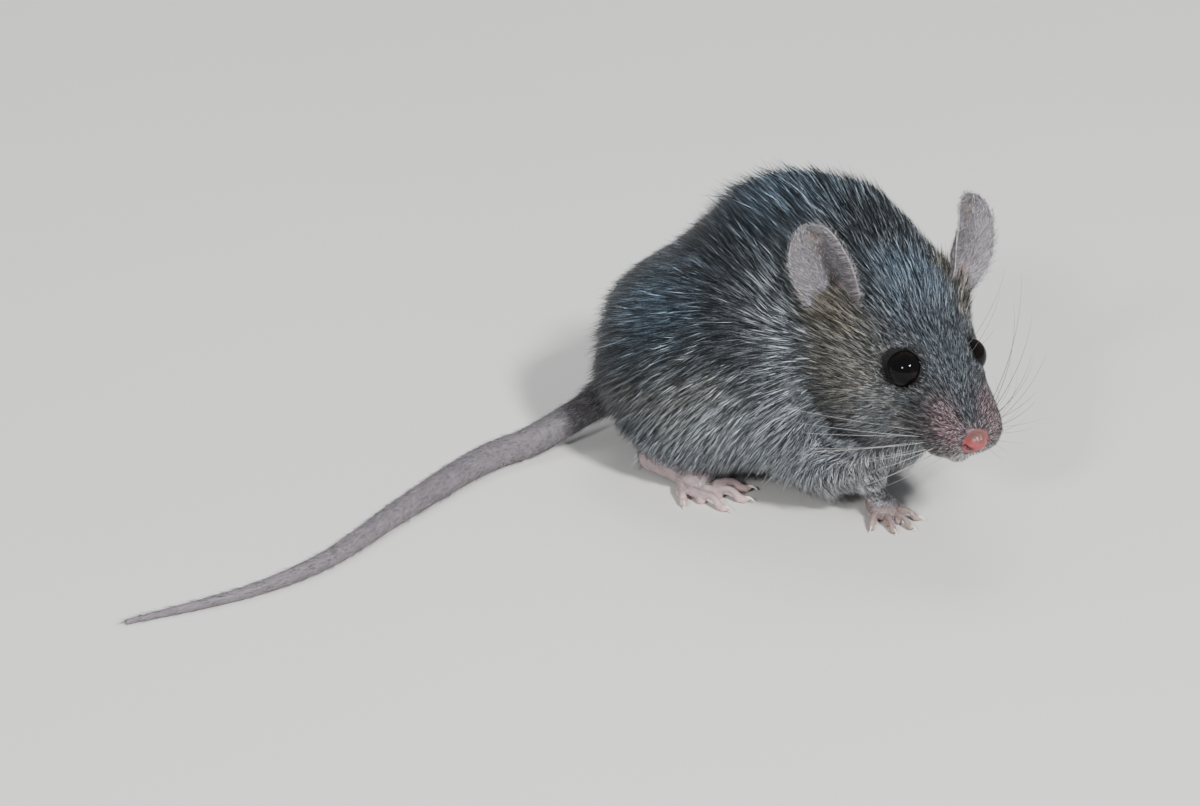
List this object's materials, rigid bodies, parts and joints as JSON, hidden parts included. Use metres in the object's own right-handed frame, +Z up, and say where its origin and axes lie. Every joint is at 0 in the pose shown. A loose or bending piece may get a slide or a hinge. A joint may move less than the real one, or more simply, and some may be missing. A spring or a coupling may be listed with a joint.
{
  "type": "house mouse",
  "caption": "House mouse as a still life-size model, crouched with an arched back and its head low and turned to its right, with a slate-grey coat, large ears and a long tail on the floor.",
  "frame": {"origin": "middle of the footprint's bounding box, on the floor", "axes": "+X the way the trunk points, +Y the animal's left, +Z up"},
  "size_m": [0.0678, 0.0806, 0.0329],
  "materials": {
    "coat": "short dark slate-grey fur",
    "foot_skin": "pink skin with fine pale hairs",
    "ear_skin": "thin mauve-grey skin, finely haired",
    "tail_skin": "ringed mauve-grey scales",
    "nose_skin": "moist bare pink skin",
    "eye": "wet glossy black"
  },
  "bodies": {
    "root": {"head": "coat", "lower_jaw": "coat", "neck": "coat", "trunk": "coat", "upper_arm_right": "coat", "forearm_right": "coat", "haunch_right": "coat", "upper_arm_left": "coat", "forearm_left": "coat", "haunch_left": "coat", "forefoot_right": "foot_skin", "forefoot_right_digit_2": "foot_skin", "forefoot_right_digit_3": "foot_skin", "forefoot_right_digit_4": "foot_skin", "forefoot_right_digit_5": "foot_skin", "hindfoot_right": "foot_skin", "hindfoot_right_digit_1": "foot_skin", "hindfoot_right_digit_2": "foot_skin", "hindfoot_right_digit_3": "foot_skin", "hindfoot_right_digit_4": "foot_skin", "hindfoot_right_digit_5": "foot_skin", "forefoot_left": "foot_skin", "forefoot_left_digit_2": "foot_skin", "forefoot_left_digit_3": "foot_skin", "forefoot_left_digit_4": "foot_skin", "forefoot_left_digit_5": "foot_skin", "hindfoot_left": "foot_skin", "hindfoot_left_digit_1": "foot_skin", "hindfoot_left_digit_2": "foot_skin", "hindfoot_left_digit_3": "foot_skin", "hindfoot_left_digit_4": "foot_skin", "hindfoot_left_digit_5": "foot_skin", "ear_right": "ear_skin", "ear_left": "ear_skin", "tail_1": "tail_skin", "tail_2": "tail_skin", "tail_3": "tail_skin", "tail_4": "tail_skin", "tail_5": "tail_skin", "nose": "nose_skin", "eye_right": "eye", "eye_left": "eye"}
  },
  "joints": []
}
